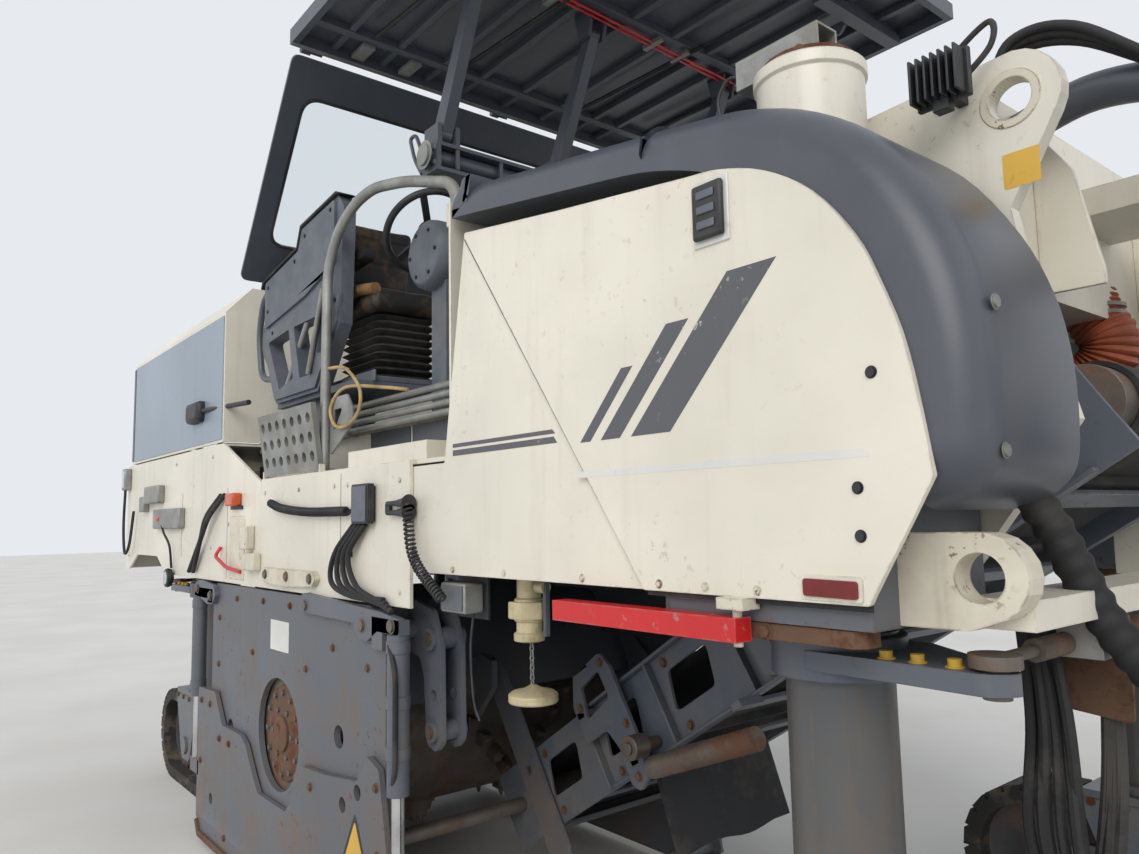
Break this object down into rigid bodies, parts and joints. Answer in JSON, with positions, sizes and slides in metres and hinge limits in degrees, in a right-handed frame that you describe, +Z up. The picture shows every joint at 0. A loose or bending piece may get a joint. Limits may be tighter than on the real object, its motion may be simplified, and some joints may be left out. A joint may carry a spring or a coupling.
{
  "type": "cold planer milling machine",
  "caption": "Compact front-loading cold planer on four steered tracks, with a milling drum, raised canopy and discharge conveyor.",
  "frame": {"origin": "middle of the machine's box, on the ground under the tracks", "axes": "+X forward along the discharge conveyor, +Y to the left side, +Z up"},
  "size_m": [12.955, 2.55, 3.81],
  "materials": {
    "cream_paint": "satin",
    "slate_paint": "satin",
    "slate_cover": "satin",
    "pale_blue_paint": "satin",
    "galvanised": "matte",
    "worn_steel": "matte",
    "chrome_rod": "polished",
    "black_rubber": "matte",
    "track_shoe": "matte",
    "black_plastic": "matte",
    "grey_plastic": "matte",
    "red_paint": "gloss",
    "valve_brass": "worn",
    "seat_cover": "worn",
    "engine_iron": "matte"
  },
  "bodies": {
    "chassis": {"main_frame": "slate_paint", "engine_block": "engine_iron", "rear_body": "cream_paint", "mid_body": "cream_paint", "side_panels": "cream_paint", "mid_panels": "cream_paint", "front_covers": "slate_cover", "leg_stubs": "cream_paint", "conveyor_tower": "cream_paint", "lashing_plates": "cream_paint", "platform_floor": "galvanised", "cross_beam": "slate_paint", "handrails": "galvanised", "seat_consoles": "grey_plastic", "seat_cushions": "seat_cover", "seat_bellows": "black_rubber", "steering_console": "grey_plastic", "steering_wheel": "black_plastic", "drum_housing": "slate_paint", "drum_drive": "slate_paint", "edge_cylinders_right": "pale_blue_paint", "edge_cylinders_left": "pale_blue_paint", "scraper_cylinders": "pale_blue_paint", "first_frame": "slate_paint", "first_belt": "black_rubber", "control_boxes": "galvanised", "lamps": "black_plastic", "hoses": "black_rubber", "water_valve": "valve_brass"},
    "front_right_leg": {"leg_front_right": "slate_paint", "track_front_right": "track_shoe"},
    "front_left_leg": {"leg_front_left": "slate_paint", "track_front_left": "track_shoe"},
    "rear_right_leg": {"leg_rear_right": "slate_paint", "track_rear_right": "track_shoe"},
    "rear_left_leg": {"leg_rear_left": "slate_paint", "track_rear_left": "track_shoe"},
    "front_tie_rod": {"tie_rod_front": "worn_steel"},
    "rear_tie_rod": {"tie_rod_rear": "worn_steel"},
    "drum": {"milling_drum": "worn_steel"},
    "right_edge_protector": {"edge_plate_right": "slate_paint"},
    "left_edge_protector": {"edge_plate_left": "slate_paint"},
    "scraper": {"scraper_blade": "slate_paint"},
    "drum_hold_down": {"hold_down": "slate_paint"},
    "canopy_arms": {"lift_arms": "slate_paint"},
    "canopy_roof": {"roof": "slate_paint"},
    "canopy_screen": {"rear_screen": "slate_paint"},
    "hood": {"engine_hood": "cream_paint", "hood_sides": "pale_blue_paint", "hood_grille": "slate_paint"},
    "slewing_bracket": {"slew_bracket": "cream_paint"},
    "discharge_conveyor": {"out_frame": "slate_paint", "out_belt": "black_rubber"},
    "luffing_barrels": {"luff_barrels": "slate_paint"},
    "luffing_rods": {"luff_rods": "chrome_rod"},
    "side_step": {"folding_step": "galvanised"},
    "side_guide_bar": {"guide_bar": "red_paint"}
  },
  "joints": [
    {"name": "front_steer", "type": "hinge", "parent": "chassis", "child": "front_right_leg", "pos_m": [-0.92241, -0.925, 1.29], "axis": [0, 0, 1], "range_deg": [-25, 25]},
    {"name": "front_left_steer", "type": "hinge", "parent": "chassis", "child": "front_left_leg", "pos_m": [-0.92241, 0.975, 1.29], "axis": [0, 0, 1], "range_deg": [-25, 25]},
    {"name": "front_tie_rod_swing", "type": "hinge", "parent": "front_right_leg", "child": "front_tie_rod", "pos_m": [-0.52241, -1.035, 1.29], "axis": [0, 0, 1], "range_deg": [-25, 25]},
    {"name": "rear_steer", "type": "hinge", "parent": "chassis", "child": "rear_right_leg", "pos_m": [-5.42241, -0.925, 1.2], "axis": [0, 0, 1], "range_deg": [-20, 20]},
    {"name": "rear_left_steer", "type": "hinge", "parent": "chassis", "child": "rear_left_leg", "pos_m": [-5.42241, 0.975, 1.2], "axis": [0, 0, 1], "range_deg": [-20, 20]},
    {"name": "rear_tie_rod_swing", "type": "hinge", "parent": "rear_right_leg", "child": "rear_tie_rod", "pos_m": [-5.82242, -1.035, 1.2], "axis": [0, 0, 1], "range_deg": [-20, 20]},
    {"name": "drum_spin", "type": "hinge", "parent": "chassis", "child": "drum", "pos_m": [-3.52242, -0.475, 0.7], "axis": [0, 1, 0], "continuous": true},
    {"name": "right_edge_lift", "type": "slide", "parent": "chassis", "child": "right_edge_protector", "axis": [0, 0, 1], "range_m": [0, 0.3]},
    {"name": "left_edge_lift", "type": "slide", "parent": "chassis", "child": "left_edge_protector", "axis": [0, 0, 1], "range_m": [0, 0.3]},
    {"name": "scraper_lift", "type": "slide", "parent": "chassis", "child": "scraper", "axis": [0, 0, 1], "range_m": [0, 0.3]},
    {"name": "hold_down_lift", "type": "hinge", "parent": "chassis", "child": "drum_hold_down", "pos_m": [-2.88241, -0.475, 0.96], "axis": [0, -1, 0], "range_deg": [0, 10]},
    {"name": "canopy_lift", "type": "hinge", "parent": "chassis", "child": "canopy_arms", "pos_m": [-2.72241, 0.025, 3.18], "axis": [0, 1, 0], "range_deg": [0, 60]},
    {"name": "roof_level", "type": "hinge", "parent": "canopy_arms", "child": "canopy_roof", "pos_m": [-2.45456, 0.025, 3.70569], "axis": [0, 1, 0], "range_deg": [-60, 0]},
    {"name": "screen_fold", "type": "hinge", "parent": "canopy_roof", "child": "canopy_screen", "pos_m": [-3.39742, 0.025, 3.75], "axis": [0, 1, 0], "range_deg": [0, 53]},
    {"name": "hood_open", "type": "hinge", "parent": "chassis", "child": "hood", "pos_m": [-6.40742, 0.025, 2.05], "axis": [0, -1, 0], "range_deg": [0, 45]},
    {"name": "conveyor_slew", "type": "hinge", "parent": "chassis", "child": "slewing_bracket", "pos_m": [0.03759, -0.125, 1.45], "axis": [0, 0, 1], "range_deg": [-60, 60]},
    {"name": "conveyor_luff", "type": "hinge", "parent": "slewing_bracket", "child": "discharge_conveyor", "pos_m": [0.09759, -0.125, 1.73], "axis": [0, -1, 0], "range_deg": [-10, 13]},
    {"name": "luff_barrel_swing", "type": "hinge", "parent": "slewing_bracket", "child": "luffing_barrels", "pos_m": [0.09759, -0.125, 2.37], "axis": [0, -1, 0], "range_deg": [-12, 14]},
    {"name": "luff_rod_stroke", "type": "slide", "parent": "luffing_barrels", "child": "luffing_rods", "axis": [0.9949, 0, -0.1004], "range_m": [-0.16, 0.13]},
    {"name": "step_fold", "type": "hinge", "parent": "chassis", "child": "side_step", "pos_m": [-3.75242, -1.209, 1.826], "axis": [1, 0, 0], "range_deg": [0, 70]},
    {"name": "guide_bar_swing", "type": "hinge", "parent": "chassis", "child": "side_guide_bar", "pos_m": [-0.95242, -1.23, 1.365], "axis": [0, 0, 1], "range_deg": [0, 170]}
  ],
  "couplings": [
    {"joint": "front_left_steer", "follows": "front_steer", "ratio": 1},
    {"joint": "front_tie_rod_swing", "follows": "front_steer", "ratio": -1},
    {"joint": "rear_left_steer", "follows": "rear_steer", "ratio": 1},
    {"joint": "rear_tie_rod_swing", "follows": "rear_steer", "ratio": -1},
    {"joint": "roof_level", "follows": "canopy_lift", "ratio": -1},
    {"joint": "screen_fold", "follows": "canopy_lift", "ratio": 0.88},
    {"joint": "luff_barrel_swing", "follows": "conveyor_luff", "ratio": 0.9654},
    {"joint": "luff_rod_stroke", "follows": "conveyor_luff", "m_per_rad": -0.6368}
  ]
}
